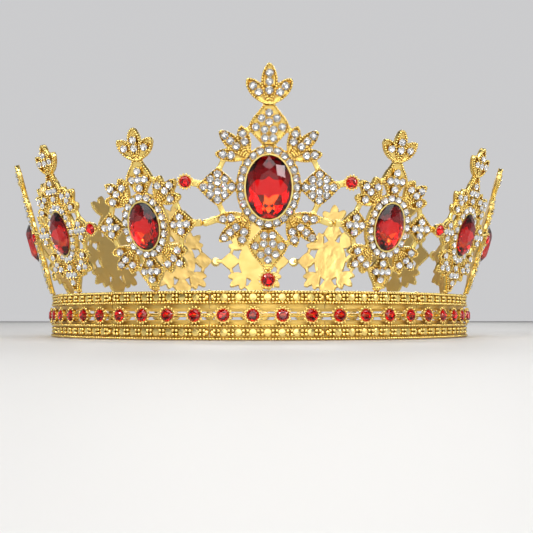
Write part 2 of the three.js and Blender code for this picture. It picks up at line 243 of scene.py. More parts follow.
SEAM_INSET = 0.75
SOLDER_RADIUS = 0.9
SOLDER_INSET = 0.7
STONE_ROW = 7.4
CUP_WIRE = 0.6
BAND_STONE = 1.9
CUP_DEPTH = 2.0
CUP_BACK = 0.3
CUP_WALL = 0.3
CUP_LIP = 0.5
CUP_WELL = 0.9
CLAW_COUNT = 14
CLAW_RADIUS = 0.36
CLAW_RAYS = 1.5
SMOOTH_ANGLE = math.radians(50)
GOLD_FACE = 0
GOLD_SHADED_RECESS = 1


def kept_shape(bm, name):
    """Puts a shape aside as a mesh that copies are taken from."""
    data = bpy.data.meshes.new(name)
    bm.to_mesh(data)
    bm.free()
    return data


def set_copies(bm, shape, places):
    """Adds a copy of a kept shape at every place."""
    for place in places:
        copy = shape.copy()
        copy.transform(place)
        bm.from_mesh(copy)
        bpy.data.meshes.remove(copy)


def sized(place, *size):
    """A place for a copy whose unit size becomes the given one."""
    scale = size if len(size) == 3 else size * 3
    return Matrix.Translation(place) @ Matrix.Diagonal((*scale, 1))


def make_ball():
    bm = bmesh.new()
    bmesh.ops.create_icosphere(bm, subdivisions=1, radius=1.0)
    return kept_shape(bm, "grain")


def make_disc():
    """A low coin with a raised middle, its axis along Z."""
    bm = bmesh.new()
    bmesh.ops.create_cone(
        bm,
        cap_ends=True,
        segments=16,
        radius1=DISC_RADIUS,
        radius2=DISC_RADIUS,
        depth=DISC_DEPTH,
    )
    top = [face for face in bm.faces if face.normal.z > 0.9]
    bmesh.ops.inset_region(bm, faces=top, thickness=DISC_RADIUS * 0.55, depth=0.09)
    return kept_shape(bm, "disc")


def bent_bar(width, low, high, round_sides=0, finish=GOLD_FACE):
    """A bar bent round the circlet over one segment, closed at both ends."""
    bm = bmesh.new()
    segments = round_sides if round_sides else 4
    ring = bmesh.ops.create_circle(bm, cap_ends=True, radius=1.0, segments=segments)
    if not round_sides:
        bmesh.ops.rotate(bm, verts=ring["verts"], matrix=Matrix.Rotation(math.pi / 4, 3, "Z"))
        bmesh.ops.scale(bm, verts=ring["verts"], vec=(math.sqrt(2), math.sqrt(2), 1))
    bmesh.ops.rotate(bm, verts=ring["verts"], matrix=Matrix.Rotation(math.pi / 2, 3, "Y"))
    bmesh.ops.scale(bm, verts=ring["verts"], vec=(1, width / 2, (high - low) / 2))
    bmesh.ops.translate(bm, verts=ring["verts"], vec=(0, -BAND_INNER - width / 2, (high + low) / 2))
    sweep = PITCH - SOLDER_SLIT
    bmesh.ops.rotate(bm, verts=ring["verts"], matrix=Matrix.Rotation(-sweep / 2, 3, "Z"))
    bmesh.ops.spin(bm, geom=bm.faces[:], axis=(0, 0, 1), cent=(0, 0, 0), angle=sweep, steps=8)
    bmesh.ops.recalc_face_normals(bm, faces=bm.faces)
    for face in bm.faces:
        face.material_index = finish
    return kept_shape(bm, "bent_bar")


def make_cup(stone_radius):
    """A turned cup, its rim at the cup depth and its well a shallow cone."""
    outer = stone_radius + CUP_WALL
    profile = [
        (0.0, CUP_BACK),
        (outer * 0.8, CUP_BACK),
        (outer, CUP_DEPTH - CUP_LIP),
        (outer, CUP_DEPTH),
        (stone_radius - 0.05, CUP_DEPTH),
        (stone_radius - CUP_WALL, CUP_DEPTH - CUP_LIP),
        (0.0, CUP_DEPTH - CUP_WELL),
    ]
    bm = bmesh.new()
    verts = [bm.verts.new((x, 0, z)) for x, z in profile]
    edges = [bm.edges.new(pair) for pair in zip(verts, verts[1:])]
    bmesh.ops.spin(
        bm,
        geom=verts + edges,
        axis=(0, 0, 1),
        cent=(0, 0, 0),
        angle=2 * math.pi,
        steps=20,
        use_merge=True,
    )
    bmesh.ops.remove_doubles(bm, verts=bm.verts, dist=1e-4)
    bmesh.ops.recalc_face_normals(bm, faces=bm.faces)
    return kept_shape(bm, "cup")


def claw_places(place, stone_radius, claw=CLAW_RADIUS, reach=1.0):
    """A ring of claws over a stone's girdle. A reach above one draws them out as rays."""
    found = []
    for number in range(CLAW_COUNT):
        turn = Matrix.Rotation(2 * math.pi * number / CLAW_COUNT, 4, "Z")
        ring = stone_radius + CUP_WALL + claw * (reach - 1) / 2
        found.append(place @ turn @ sized((ring, 0, CUP_DEPTH), claw * reach, claw, claw))
    return found


def on_circle(radius, angle, height):
    """A point at an angle round the crown, measured from its front."""
    return Vector((radius * math.sin(angle), -radius * math.cos(angle), height))


def facing(angle):
    """Turns +Z to look outwards at an angle round the crown."""
    return Matrix.Rotation(angle, 4, "Z") @ Matrix.Rotation(math.pi / 2, 4, "X")


def band_cup_places():
    """The four cups of the front segment, their backs against its inner face."""
    found = []
    for link in range(STONES_EACH):
        angle = (link + 0.5) * LINK_ANGLE - PITCH / 2
        found.append(Matrix.Translation(on_circle(BAND_INNER, angle, STONE_ROW)) @ facing(angle))
    return found


def gallery_segment():
    """The segment at the front, which the others repeat."""
    bm = bmesh.new()
    for height in RAIL_HEIGHTS:
        rail = bent_bar(BAND_WALL, height - RAIL_RADIUS, height + RAIL_RADIUS, round_sides=10)
        bm.from_mesh(rail)
    for low, high in STRIP_SPANS:
        bm.from_mesh(bent_bar(STRIP_THICKNESS, low, high, finish=GOLD_SHADED_RECESS))
    wire = bent_bar(BAND_WALL, STONE_ROW - CUP_WIRE, STONE_ROW + CUP_WIRE, round_sides=8)
    bm.from_mesh(wire)
    grains = []
    coins = []
    for link in range(STONES_EACH):
        start = link * LINK_ANGLE - PITCH / 2
        for height in RAIL_HEIGHTS:
            for number in range(ROPE_GRAINS_PER_LINK):
                angle = start + (number + 0.5) * LINK_ANGLE / ROPE_GRAINS_PER_LINK
                grains.append(sized(on_circle(BAND_OUTER - 0.05, angle, height), ROPE_GRAIN))
        for row in GALLERY_ROWS:
            for share in (0.0, 0.5):
                angle = start + share * LINK_ANGLE
                if link or share:
                    spot = on_circle(BAND_OUTER - DISC_INSET, angle, row)
                    coins.append(Matrix.Translation(spot) @ facing(angle))
                middle = start + (share + 0.25) * LINK_ANGLE
                for side in (-1, 1):
                    for up in (-1, 1):
                        turn = middle + side * GRAIN_SPREAD / BAND_OUTER
                        height = row + up * GRAIN_SPREAD
                        spot = on_circle(BAND_OUTER - GRAIN_INSET, turn, height)
                        grains.append(sized(spot, GRAIN_RADIUS))
    for row in GALLERY_ROWS:
        for end in (-PITCH / 2 + SEAM_ANGLE, PITCH / 2 - SEAM_ANGLE):
            seam = Matrix.Translation(on_circle(BAND_OUTER - SEAM_INSET, end, row))
            grains.append(seam @ facing(end) @ Matrix.Diagonal(SEAM_SIZE))
    for place in band_cup_places():
        grains += claw_places(place, BAND_STONE, reach=CLAW_RAYS)
    set_copies(bm, ball, grains)
    set_copies(bm, disc, coins)
    set_copies(bm, make_cup(BAND_STONE), band_cup_places())
    solder = ((RAIL_HEIGHTS[0], 0.6), (RAIL_HEIGHTS[-1], 0.75), (STONE_ROW, 0.7))
    for height, thick in solder:
        blob = Matrix.Translation(on_circle(BAND_OUTER - SOLDER_INSET, PITCH / 2, height))
        size = Matrix.Diagonal((SOLDER_RADIUS, thick, SOLDER_RADIUS, 1))
        set_copies(bm, ball, [blob @ facing(PITCH / 2) @ size])
    return bm


def finish_piece(bm, name, materials, smooth_angle=SMOOTH_ANGLE):
    """Turns a shape in millimetres into a piece that rides on the crown."""
    bmesh.ops.scale(bm, verts=bm.verts, vec=(MM, MM, MM))
    data = bpy.data.meshes.new(name)
    bm.to_mesh(data)
    bm.free()
    for material in materials:
        data.materials.append(material)
    piece = bpy.data.objects.new(name, data)
    bpy.context.scene.collection.objects.link(piece)
    if smooth_angle:
        data.shade_smooth()
        data.set_sharp_from_angle(angle=smooth_angle)
    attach(piece, "root")
    return piece


def turned_copy(bm, angle):
    """The same shape further round the crown."""
    copy = bm.copy()
    turn = Matrix.Rotation(angle, 3, "Z")
    bmesh.ops.rotate(copy, verts=copy.verts, cent=(0, 0, 0), matrix=turn)
    return copy


ball = make_ball()
disc = make_disc()
segment = gallery_segment()
segment_golds = [casting_gold, shaded_recess_gold]
for unit in range(UNITS):
    number = f"{unit + 1:02d}"
    shape = turned_copy(segment, unit * PITCH)
    piece = finish_piece(shape, f"gallery_segment_{number}", segment_golds)
    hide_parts(f"band_segment_{number}")
segment.free()


# The circlet's stones: fifty-six round cut stones of red glass, each dropped into a
# claw cup. Their lower facets carry a mirror foil, which gives the colour its depth.
# On the larger stones the foil is painted darker above as shade and orange below as painted light.
GLASS_INDEX = 1.54
FOIL_ROUGHNESS = 0.03
SEAT_DROP = 0.05


def glass(name, colour, sheen):
    """Polished glass that takes its tint from the colour. A sheen of 0.5 is bare glass."""
    made = bpy.data.materials.new(name)
    made.use_nodes = True
    shader = made.node_tree.nodes["Principled BSDF"]
    shader.inputs["Base Color"].default_value = (*colour, 1)
    shader.inputs["Roughness"].default_value = 0.0
    shader.inputs["IOR"].default_value = GLASS_INDEX
    shader.inputs["Specular IOR Level"].default_value = sheen
    shader.inputs["Transmission Weight"].default_value = 1.0
    return made


def foil(name, bright, deep, scale, metal):
    """The mirror coat on the lower facets, drifting between two colours."""
    made = bpy.data.materials.new(name)
    made.use_nodes = True
    nodes = made.node_tree.nodes
    link = made.node_tree.links.new
    shader = nodes["Principled BSDF"]
    shader.inputs["Metallic"].default_value = metal
    shader.inputs["Roughness"].default_value = FOIL_ROUGHNESS
    place = nodes.new("ShaderNodeTexCoord")
    drift = nodes.new("ShaderNodeTexNoise")
    drift.inputs["Scale"].default_value = scale
    link(place.outputs["Object"], drift.inputs["Vector"])
    blend = nodes.new("ShaderNodeMixRGB")
    blend.inputs["Color1"].default_value = (*bright, 1)
    blend.inputs["Color2"].default_value = (*deep, 1)
    link(drift.outputs["Fac"], blend.inputs["Fac"])
    link(blend.outputs["Color"], shader.inputs["Base Color"])
    return made


red_glass = glass("red_glass", (0.97, 0.30, 0.26), 0.5)
table_glass = glass("table_glass", (0.97, 0.30, 0.26), 0.06)
red_foil = foil("red_foil", (0.95, 0.010, 0.010), (0.72, 0.005, 0.010), 300, 1.0)
# Painted shade and painted light for the oval stones: a dark foil for the upper pavilion, an orange
# one low down.
painted_shade_foil = foil("painted_shade_foil", (0.38, 0.01, 0.02), (0.16, 0.0, 0.01), 300, 1.0)
painted_light_foil = foil("painted_light_foil", (1.0, 0.40, 0.05), (1.0, 0.08, 0.02), 300, 1.0)
reds = [red_glass, red_foil, painted_shade_foil, painted_light_foil, table_glass]
CROWN_FACET, BACK_FACET, PAINTED_SHADE_FACET, PAINTED_LIGHT_FACET, TABLE_FACET = range(len(reds))


def cut_gem(rings, sides, finish_of):
    """A faceted stone through rings of points, each ring (x radius, y radius, height,
    turn in half steps). finish_of picks the finish of a facet."""
    bm = bmesh.new()
    for x_radius, y_radius, height, half_steps in rings:
        ring = bmesh.ops.create_circle(bm, segments=sides, radius=1.0)["verts"]
        turn = Matrix.Rotation(half_steps * math.pi / sides, 3, "Z")
        bmesh.ops.rotate(bm, verts=ring, matrix=turn)
        bmesh.ops.scale(bm, verts=ring, vec=(x_radius, y_radius, 1))
        bmesh.ops.translate(bm, verts=ring, vec=(0, 0, height))
    bmesh.ops.convex_hull(bm, input=bm.verts)
    wires = [edge for edge in bm.edges if not edge.link_faces]
    bmesh.ops.delete(bm, geom=wires, context="EDGES")
    bmesh.ops.dissolve_limit(bm, angle_limit=math.radians(1), verts=bm.verts, edges=bm.edges)
    bmesh.ops.recalc_face_normals(bm, faces=bm.faces)
    for face in bm.faces:
        face.material_index = finish_of(face.calc_center_median(), face.normal)
    return kept_shape(bm, "gem")


def round_gem(radius, sides, crown, pavilion):
    """A brilliant whose girdle lies at z = 0."""
    rings = [
        (radius * 0.55, radius * 0.55, crown, 0),
        (radius * 0.84, radius * 0.84, crown * 0.62, 1),
        (radius, radius, 0.04, 0),
        (radius, radius, 0.0, 0),
        (radius * 0.60, radius * 0.60, -pavilion * 0.55, 1),
        (radius * 0.10, radius * 0.10, -pavilion, 0),
    ]

    def finish_of(middle, outward):
        return BACK_FACET if middle.z < 0 else CROWN_FACET

    return cut_gem(rings, sides, finish_of)


def set_stones(bm, angle, name, finishes, slot, *nodes):
    """Sets stones round the crown. They replace the nodes named, if there are any."""
    piece = finish_piece(turned_copy(bm, angle), name, finishes, smooth_angle=0)
    if nodes:
        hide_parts(*nodes)


in_cup = Matrix.Translation((0, 0, CUP_DEPTH - SEAT_DROP))
band_gem = round_gem(BAND_STONE, 10, 0.85, 0.8)
row = bmesh.new()
set_copies(row, band_gem, [place @ in_cup for place in band_cup_places()])
for unit in range(UNITS):
    set_stones(row, unit * PITCH, f"band_stones_{unit + 1:02d}", reds, "red_glass")
row.free()


# The uprights: flat pierced castings, each a halo round an oval setting with four
# pointed fields, twelve leaves and a three-leaf finial, tied by short webs. Each is
# cast in one, so its edges are soft, and a raised border with grain runs round
# every field. A drop of solder fixes its foot to the circlet's top rail.
FLOOR = 0.85
RIM = 1.45
RIM_WIDTH = 0.5
WEB_TOP = 1.15
SEAT_INSET = 1.0
SOLDER_GAP = 0.35
CAD_PLATE = 1.6
JOIN = 0.6
BEZEL_WALL = 0.32
HALO_WIDTH = 2.6
CLUSTER_ANGLE = math.radians(48)
FINIAL_SPREAD = math.radians(42)
SMALL_LEAN = math.radians(16)
NECK = 1.3
STRUT_WIDTH = 2.0
WEB_WIDTH = 1.5
WEB_SHARE = 0.68
JUNCTION_STONE = 1.7
JUNCTION_CUP = 2.1
PENDANT_STONE = 2.0
PENDANT_CUP = 2.4
FRONT_CUP_RISE = 1.4
BORDER_GRAIN = 0.38
BORDER_PITCH = 0.78
BORDER_LINE = RIM_WIDTH * 0.55
CLEAR_STONE = 1.16
CLEAR_GIRDLE = 1.72
GRIP_SIZE = (0.31, 0.31, 0.45)
GRIP_GAP = 0.06
HALO_BASE = 0.45
HALO_FLOOR = FLOOR + 0.05
WEB_BACK = 0.1
BEZEL_LAP = 0.1
BEZEL_FOOT = 0.3
VOXEL = 0.26
BACK_DEPTH = 0.3
GOLD_SHADED_BACK = 1
LEAF_SKEW = 1.2
LEAF_BLUNTNESS = 0.55
DIAMOND_POINTS = 24
DIAMOND_FULLNESS = 1.12
SHIELD_WAIST = 0.45
RAY_CLAW = 0.3
RAY_REACH = 1.3
PENDANT_CLAW = 0.32
PENDANT_REACH = 1.9


class Pattern:
    """The sizes of one pattern of upright. A leaf is (degrees, length, half width,
    where its stones lie along it), and a field's stones are (x, y) from its root."""

    def __init__(self, stone, bezel_top, leaves, diamond, upper, lower, finial, halo_stones):
        self.stone = stone
        self.bezel_top = bezel_top
        self.leaves = leaves
        self.diamond = diamond
        self.upper = upper
        self.lower = lower
        self.finial = finial
        self.halo_stones = halo_stones
        self.halo = (stone[0] + HALO_WIDTH, stone[1] + HALO_WIDTH)

    def stand_on(self, root):
        """Stacks the parts of the pattern upwards from its foot."""
        self.centre = root + self.lower[0] - JOIN + self.halo[1]
        self.finial_y = self.centre + self.halo[1] - JOIN + self.upper[0] - JOIN
        self.tip = self.finial_y + self.finial[0]
        self.cluster = (math.cos(CLUSTER_ANGLE) * (self.halo[0] - JOIN),
                        math.sin(CLUSTER_ANGLE) * (self.halo[1] - JOIN))
        self.side_x = self.halo[0] - JOIN + self.diamond[0]


SMALL_FIELD = [(0, 1.9), (-2.1, 4.3), (0, 4.3), (2.1, 4.3), (0, 6.7)]
SMALL = Pattern(
    stone=(5.0, 7.0),
    bezel_top=2.2,
    leaves=[
        (8, 7.9, 1.75, (0.62,)),
        (41, 9.0, 1.85, (0.5, 0.745)),
        (75, 7.6, 1.75, (0.62,)),
    ],
    diamond=(4.6, 4.3, [(0, 0), (2.1, 0), (-2.1, 0), (0, 2.05), (0, -2.05)]),
    upper=(10.2, 4.2, SMALL_FIELD),
    lower=(9.6, 4.0, SMALL_FIELD),
    finial=(9.3, 2.1, (0.38, 0.63), 8.2, 1.95, (0.6,)),
    halo_stones=19,
)
FRONT_FIELD = [
    *((-1.15, 2.5), (1.15, 2.5)),
    *((-1.25, 4.8), (1.25, 4.8)),
    *((-3.65, 5.5), (3.65, 5.5)),
    (0, 6.9),
    *((-2.1, 7.9), (2.1, 7.9)),
    (0, 9.4),
]
FRONT_DIAMOND = [
    *((0, 3.5), (0, -3.5), (0, 1.3), (0, -1.3)),
    *((1.95, 2.1), (-1.95, 2.1), (1.95, -2.1), (-1.95, -2.1)),
    *((1.95, 0), (-1.95, 0), (3.85, 0), (-3.85, 0)),
]
FRONT = Pattern(
    stone=(6.5, 9.0),
    bezel_top=2.35,
    leaves=[
        (6, 9.3, 1.85, (0.52, 0.76)),
        (42, 10.8, 2.0, (0.42, 0.62, 0.82)),
        (76, 8.9, 1.85, (0.5, 0.75)),
    ],
    diamond=(5.7, 5.4, FRONT_DIAMOND),
    upper=(12.2, 5.7, FRONT_FIELD),
    lower=(12.2, 5.6, FRONT_FIELD),
    finial=(11.2, 2.3, (0.34, 0.55, 0.76), 9.3, 2.05, (0.48, 0.72)),
    halo_stones=24,
)
plate_root = (SOLDER_GAP + CAD_PLATE * math.sin(SMALL_LEAN)) / math.cos(SMALL_LEAN)
SMALL.stand_on(plate_root)
PENDANT_Y = plate_root + PENDANT_CUP
FRONT.stand_on(PENDANT_Y + PENDANT_CUP - JOIN + 1)
FRONT_LEAN = math.asin(SMALL.tip * math.sin(SMALL_LEAN) / FRONT.tip)
SEAT_RADIUS = BAND_OUTER - SEAT_INSET
HALF_PITCH = PITCH / 2


def standing(lean, radius=SEAT_RADIUS, height=BAND_HEIGHT):
    """From a plate's own plane (x along, y up, z outwards) to the crown's front."""
    return Matrix.Translation((0, -radius, height)) @ Matrix.Rotation(math.pi / 2 + lean, 4, "X")


def halfway():
    """Where the cup between a small upright and the next one stands."""
    radius = (SEAT_RADIUS + SMALL.centre * math.sin(SMALL_LEAN)) / math.cos(HALF_PITCH)
    height = BAND_HEIGHT + SMALL.centre * math.cos(SMALL_LEAN)
    return Matrix.Rotation(HALF_PITCH, 4, "Z") @ standing(SMALL_LEAN, radius, height)


def leaf_line(x, y, angle, length, half_width, points=10):
    """The outline of a leaf that swells past its middle to a blunt tip."""
    half = []
    for i in range(1, points):
        t = (1 - math.cos(math.pi * i / points)) / 2
        swell = math.sin(math.pi * t ** LEAF_SKEW) ** LEAF_BLUNTNESS
        half.append(Vector((length * t, half_width * swell)))
    other = [Vector((p.x, -p.y)) for p in reversed(half)]
    line = [Vector((0, 0)), *half, Vector((length, 0)), *other]
    turn = Matrix.Rotation(angle, 2)
    return [turn @ p + Vector((x, y)) for p in line]


def diamond_line(x, y, half_width, half_height):
    """A lozenge with slightly full sides and blunt corners."""
    line = []
    power = DIAMOND_FULLNESS
    for i in range(DIAMOND_POINTS):
        angle = 2 * math.pi * i / DIAMOND_POINTS
        across = math.cos(angle)
        up = math.sin(angle)
        reach = 1 / (abs(across) ** power + abs(up) ** power) ** (1 / power)
        line.append(Vector((x + half_width * across * reach, y + half_height * up * reach)))
    return line


def shield_line(root_y, direction, height, half_width):
    """A field that springs narrow from the halo, swells, and closes on a neck."""
    shares = [
        (0.62, 0.2),
        (0.93, 0.36),
        (1.0, SHIELD_WAIST),
        (0.94, 0.54),
        (0.79, 0.66),
        (0.55, 0.79),
    ]
    swell = [(half_width * a, height * b) for a, b in shares]
    right = [(NECK, 0.0), *swell, (NECK * 0.9, height)]
    line = right + [(-x, y) for x, y in reversed(right)]
    return [Vector((x, root_y + direction * y)) for x, y in line]


def oval_line(centre_y, half_width, half_height, points=48):
    turns = [2 * math.pi * i / points for i in range(points)]
    return [Vector((half_width * math.cos(a), centre_y + half_height * math.sin(a))) for a in turns]


def bar_line(start, end, width=STRUT_WIDTH):
    start = Vector(start)
    end = Vector(end)
    along = (end - start).normalized()
    across = Vector((-along.y, along.x)) * width / 2
    return [start - across, end - across, end + across, start + across]


def slab(line, low, high, tray=False):
    """An outline given thickness. A tray keeps a raised rim round a lower floor."""
    bm = bmesh.new()
    face = bm.faces.new([bm.verts.new((p.x, p.y, low)) for p in line])
    top = bmesh.ops.extrude_face_region(bm, geom=[face])["geom"]
    moved = [item for item in top if isinstance(item, bmesh.types.BMVert)]
    bmesh.ops.translate(bm, verts=moved, vec=(0, 0, high - low))
    if tray:
        lids = [item for item in top if isinstance(item, bmesh.types.BMFace)]
        bmesh.ops.recalc_face_normals(bm, faces=bm.faces)
        bmesh.ops.inset_region(
            bm,
            faces=lids,
            thickness=RIM_WIDTH,
            depth=FLOOR - RIM,
            use_even_offset=True,
        )
    bmesh.ops.recalc_face_normals(bm, faces=bm.faces)
    return kept_shape(bm, "slab")


def wall(inner, outer, low, high):
    """An upright ring between two outlines with the same number of points."""
    bm = bmesh.new()
    loops = []
    for line in (inner, outer):
        verts = [bm.verts.new((p.x, p.y, low)) for p in line]
        loops += [bm.edges.new((a, b)) for a, b in zip(verts, verts[1:] + verts[:1])]
    bmesh.ops.bridge_loops(bm, edges=loops)
    top = bmesh.ops.extrude_face_region(bm, geom=list(bm.faces))["geom"]
    moved = [item for item in top if isinstance(item, bmesh.types.BMVert)]
    bmesh.ops.translate(bm, verts=moved, vec=(0, 0, high - low))
    bmesh.ops.recalc_face_normals(bm, faces=bm.faces)
    return kept_shape(bm, "wall")


def fields(pattern):
    """Every bordered field of an upright outside the halo, with its stones."""
    found = []
    top = pattern.centre + pattern.halo[1] - JOIN
    bottom = pattern.centre - pattern.halo[1] + JOIN
    shields = ((top, 1, pattern.upper), (bottom, -1, pattern.lower))
    for root, up, (height, half_width, spots) in shields:
        stones = [Vector((x, root + up * y)) for x, y in spots]
        found.append((shield_line(root, up, height, half_width), stones))
    length, half_width, shares, side_length, side_half, side_shares = pattern.finial
    leaves = [(0, pattern.finial_y, math.pi / 2, length, half_width, shares)]
    for side in (-1, 1):
        spread = math.pi / 2 - side * FINIAL_SPREAD
        leaves.append((0, pattern.finial_y, spread, side_length, side_half, side_shares))
        half_w, half_h, spots = pattern.diamond
        middle = Vector((side * pattern.side_x, pattern.centre))
        stones = [middle + Vector(spot) for spot in spots]
        found.append((diamond_line(*middle, half_w, half_h), stones))
        for up in (-1, 1):
            for degrees, size, width, shares in pattern.leaves:
                lift = up * math.radians(degrees)
                angle = lift if side > 0 else math.pi - lift
                y = pattern.centre + up * pattern.cluster[1]
                leaves.append((side * pattern.cluster[0], y, angle, size, width, shares))
    for x, y, angle, size, width, shares in leaves:
        along = Vector((math.cos(angle), math.sin(angle)))
        stones = [Vector((x, y)) + along * size * share for share in shares]
        found.append((leaf_line(x, y, angle, size, width), stones))
    return found


def web_lines(pattern):
    """Short bars that tie each cluster of leaves to the diamond and shield beside it."""
    found = []
    for side in (-1, 1):
        for up in (-1, 1):
            spots = []
            for number in (2, 0):
                degrees, size = pattern.leaves[number][:2]
                angle = math.radians(degrees)
                x = pattern.cluster[0] + math.cos(angle) * size * WEB_SHARE
                y = pattern.cluster[1] + math.sin(angle) * size * WEB_SHARE
                spots.append(Vector((side * x, pattern.centre + up * y)))
            height, half_width = (pattern.upper if up > 0 else pattern.lower)[:2]
            shield_x = side * (half_width - WEB_WIDTH / 2)
            shield_y = pattern.centre + up * (pattern.halo[1] - JOIN + height * SHIELD_WAIST)
            diamond_y = pattern.centre + up * (pattern.diamond[1] - WEB_WIDTH)
            found.append(bar_line(spots[0], (shield_x, shield_y), WEB_WIDTH))
            found.append(bar_line(spots[1], (side * pattern.side_x, diamond_y), WEB_WIDTH))
    return found


def spaced(line, pitch):
    """Points at an even pitch along a closed outline, each with the way inwards."""
    lengths = [(b - a).length for a, b in zip(line, line[1:] + line[:1])]
    total = sum(lengths)
    count = round(total / pitch)
    area = sum(a.x * b.y - b.x * a.y for a, b in zip(line, line[1:] + line[:1]))
    found = []
    index = 0
    passed = 0.0
    for i in range(count):
        at = total * i / count
        while passed + lengths[index] < at:
            passed += lengths[index]
            index += 1
        start, end = line[index], line[(index + 1) % len(line)]
        along = (end - start).normalized()
        inward = Vector((-along.y, along.x)) * math.copysign(1, area)
        found.append((start + along * (at - passed), inward))
    return found


def fused_plate(pattern, bars):
    """The plate of an upright, run together and softened as a casting is."""
    bm = bmesh.new()
    for line, _ in fields(pattern):
        bm.from_mesh(slab(line, 0.0, RIM, tray=True))
    outer = oval_line(pattern.centre, *pattern.halo)
    halo_rim = oval_line(pattern.centre, pattern.halo[0] - RIM_WIDTH, pattern.halo[1] - RIM_WIDTH)
    bezel_outer, bezel_inner = (
        oval_line(pattern.centre, pattern.stone[0] + gap, pattern.stone[1] + gap)
        for gap in (BEZEL_WALL, -BEZEL_LAP)
    )
    bm.from_mesh(slab(outer, 0.0, HALO_BASE))
    bm.from_mesh(wall(bezel_inner, outer, 0.0, HALO_FLOOR))
    bm.from_mesh(wall(halo_rim, outer, 0.0, RIM))
    for line in web_lines(pattern) + bars:
        bm.from_mesh(slab(line, WEB_BACK, WEB_TOP))
    rough = bpy.data.objects.new("rough_plate", kept_shape(bm, "rough_plate"))
    bpy.context.scene.collection.objects.link(rough)
    fuse = rough.modifiers.new("fuse", "REMESH")
    fuse.mode = "VOXEL"
    fuse.voxel_size = VOXEL
    polish = rough.modifiers.new("polish", "SMOOTH")
    polish.factor = 0.5
    polish.iterations = 2
    graph = bpy.context.evaluated_depsgraph_get()
    fused = bmesh.new()
    fused.from_mesh(rough.evaluated_get(graph).to_mesh())
    bpy.data.objects.remove(rough)
    # Painted shade: the faces at the back of the plate take the darker back gold.
    for face in fused.faces:
        if face.calc_center_median().z < BACK_DEPTH:
            face.material_index = GOLD_SHADED_BACK
    fused.from_mesh(wall(bezel_inner, bezel_outer, BEZEL_FOOT, pattern.bezel_top))
    return fused


def clear_spots(pattern):
    """Where the clear stones lie: in every field, and in a ring round the halo."""
    spots = [spot for _, stones in fields(pattern) for spot in stones]
    ring_out = (BEZEL_WALL + HALO_WIDTH - RIM_WIDTH * 0.4) / 2
    width = pattern.stone[0] + ring_out
    ring = oval_line(pattern.centre, width, pattern.stone[1] + ring_out, points=96)
    round_about = sum((b - a).length for a, b in zip(ring, ring[1:] + ring[:1]))
    return spots + [point for point, _ in spaced(ring, round_about / pattern.halo_stones)]


def plate_grains(pattern):
    """Grain along the border of every field and four grips round every clear stone."""
    found = []
    stones = clear_spots(pattern)

    def is_clear(spot):
        nearest = min((spot - stone).length for stone in stones)
        return nearest > CLEAR_STONE + BORDER_GRAIN * 0.6

    for line, _ in fields(pattern):
        for point, inward in spaced(line, BORDER_PITCH):
            spot = point + inward * BORDER_LINE
            x = spot.x / pattern.halo[0]
            y = (spot.y - pattern.centre) / pattern.halo[1]
            if x * x + y * y > 1.03 and is_clear(spot):
                found.append(sized((*spot, RIM - 0.02), BORDER_GRAIN))
    for point, inward in spaced(oval_line(pattern.centre, *pattern.halo), BORDER_PITCH):
        spot = point + inward * BORDER_LINE
        found.append(sized((*spot, RIM - 0.02), BORDER_GRAIN))
    for spot in stones:
        for quarter in range(4):
            turn = math.pi / 4 + quarter * math.pi / 2
            ring = CLEAR_STONE + GRIP_GAP
            x = spot.x + ring * math.cos(turn)
            y = spot.y + ring * math.sin(turn)
            found.append(sized((x, y, CLEAR_GIRDLE), *GRIP_SIZE))
    return found


def reach_at(y, lean):
    """How far along a plate the plane halfway to its neighbour lies."""
    return (SEAT_RADIUS + y * math.sin(lean)) * math.tan(HALF_PITCH)


def small_casting(cup_right, cup_left):
    """cup_right: this casting carries the cup on its right corner. cup_left: the
    neighbour's cup stands at its left corner."""
    y = SMALL.centre
    reach = reach_at(y, SMALL_LEAN)
    right_end = reach if cup_right else reach - SOLDER_GAP
    left_end = reach - JUNCTION_CUP - SOLDER_GAP / 2 if cup_left else reach - SOLDER_GAP
    bars = [
        bar_line((SMALL.side_x, y), (right_end, y)),
        bar_line((-left_end, y), (-SMALL.side_x, y)),
    ]
    bm = fused_plate(SMALL, bars)
    grains = plate_grains(SMALL)
    grains.append(sized((0, plate_root - 0.1, 0.5), 1.7, 0.9, 0.75))
    set_copies(bm, ball, grains)
    bmesh.ops.transform(bm, verts=bm.verts, matrix=standing(SMALL_LEAN))
    if cup_right:
        set_copies(bm, make_cup(JUNCTION_STONE), [halfway()])
        set_copies(bm, ball, claw_places(halfway(), JUNCTION_STONE, RAY_CLAW, RAY_REACH))
    return bm


def front_cup_x():
    """The front cups stand just clear of the neighbours' long upper leaves."""
    degrees, length = SMALL.leaves[1][:2]
    angle = math.radians(degrees)
    tip_x = SMALL.cluster[0] + math.cos(angle) * length
    tip_y = SMALL.centre + SMALL.cluster[1] + math.sin(angle) * length
    radius = SEAT_RADIUS + tip_y * math.sin(SMALL_LEAN)
    turn = PITCH - math.atan2(tip_x, radius)
    return math.hypot(tip_x, radius) * math.sin(turn) - JUNCTION_CUP - SOLDER_GAP


FRONT_CUP_Y = FRONT.centre + FRONT_CUP_RISE
FRONT_CUPS = [Vector((side * front_cup_x(), FRONT_CUP_Y, 0)) for side in (-1, 1)]
PENDANT_PLACE = Vector((0, PENDANT_Y, 0))


